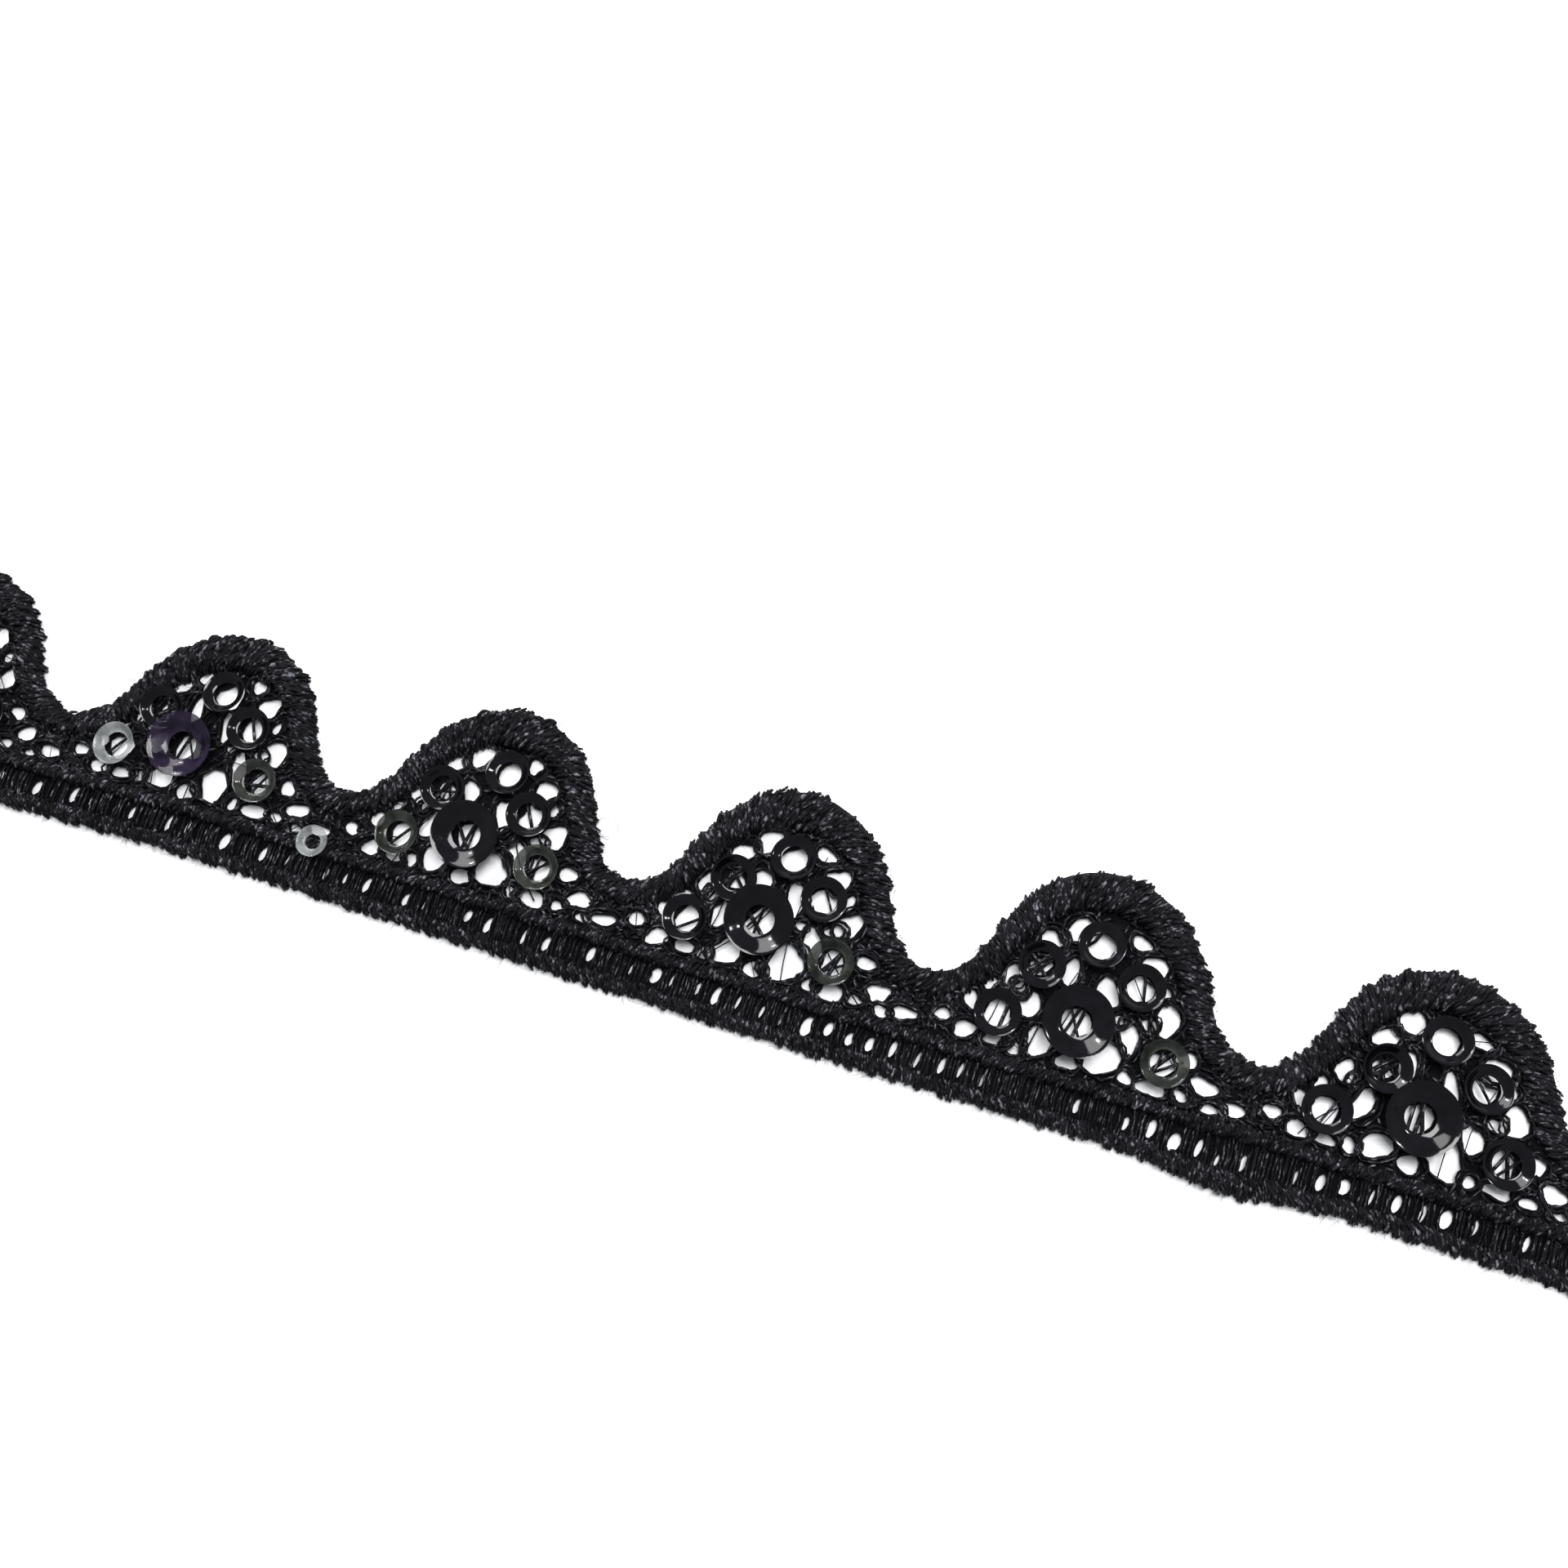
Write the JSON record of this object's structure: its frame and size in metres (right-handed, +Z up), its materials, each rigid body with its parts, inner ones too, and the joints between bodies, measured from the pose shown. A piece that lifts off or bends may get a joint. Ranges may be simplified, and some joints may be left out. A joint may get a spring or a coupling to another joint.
{
  "type": "beaded lace trim",
  "caption": "Cut length of black scalloped lace edging: satin-stitched border, open net with sewn cup sequins, and a laddered header to sew it on by.",
  "frame": {"origin": "middle of the trim's outline, on the surface that it lies on", "axes": "+X along the trim, +Y from the header to the scallops, +Z up out of its right side"},
  "size_m": [0.1948, 0.0248, 0.0033],
  "materials": {
    "black_thread": "matte black embroidery thread with fine grey flecks",
    "jet_sequin": "glossy black cup sequin, faintly see-through",
    "grey_sequin": "glossy grey, see-through"
  },
  "bodies": {
    "root": {"lace": "black_thread", "sequin_1_left": "jet_sequin", "sequin_1_low": "jet_sequin", "sequin_1_right": "jet_sequin", "sequin_1_upper": "jet_sequin", "sequin_1_top": "jet_sequin", "sequin_1_big": "jet_sequin", "sequin_2_left": "jet_sequin", "sequin_2_low": "jet_sequin", "sequin_2_right": "jet_sequin", "sequin_2_upper": "jet_sequin", "sequin_2_top": "jet_sequin", "sequin_2_big": "jet_sequin", "sequin_3_left": "jet_sequin", "sequin_3_low": "jet_sequin", "sequin_3_right": "jet_sequin", "sequin_3_upper": "jet_sequin", "sequin_3_top": "jet_sequin", "sequin_3_big": "jet_sequin", "sequin_4_left": "jet_sequin", "sequin_4_low": "jet_sequin", "sequin_4_right": "jet_sequin", "sequin_4_upper": "jet_sequin", "sequin_4_top": "jet_sequin", "sequin_4_big": "jet_sequin", "sequin_5_left": "jet_sequin", "sequin_5_low": "jet_sequin", "sequin_5_right": "jet_sequin", "sequin_5_upper": "jet_sequin", "sequin_5_top": "jet_sequin", "sequin_5_big": "jet_sequin", "sequin_6_left": "jet_sequin", "sequin_6_low": "jet_sequin", "sequin_6_right": "jet_sequin", "sequin_6_upper": "jet_sequin", "sequin_6_top": "jet_sequin", "sequin_6_big": "jet_sequin", "sequin_7_left": "jet_sequin", "sequin_7_low": "jet_sequin", "sequin_7_right": "jet_sequin", "sequin_7_upper": "jet_sequin", "sequin_7_top": "jet_sequin", "sequin_7_big": "jet_sequin", "sequin_lone": "grey_sequin"}
  },
  "joints": []
}
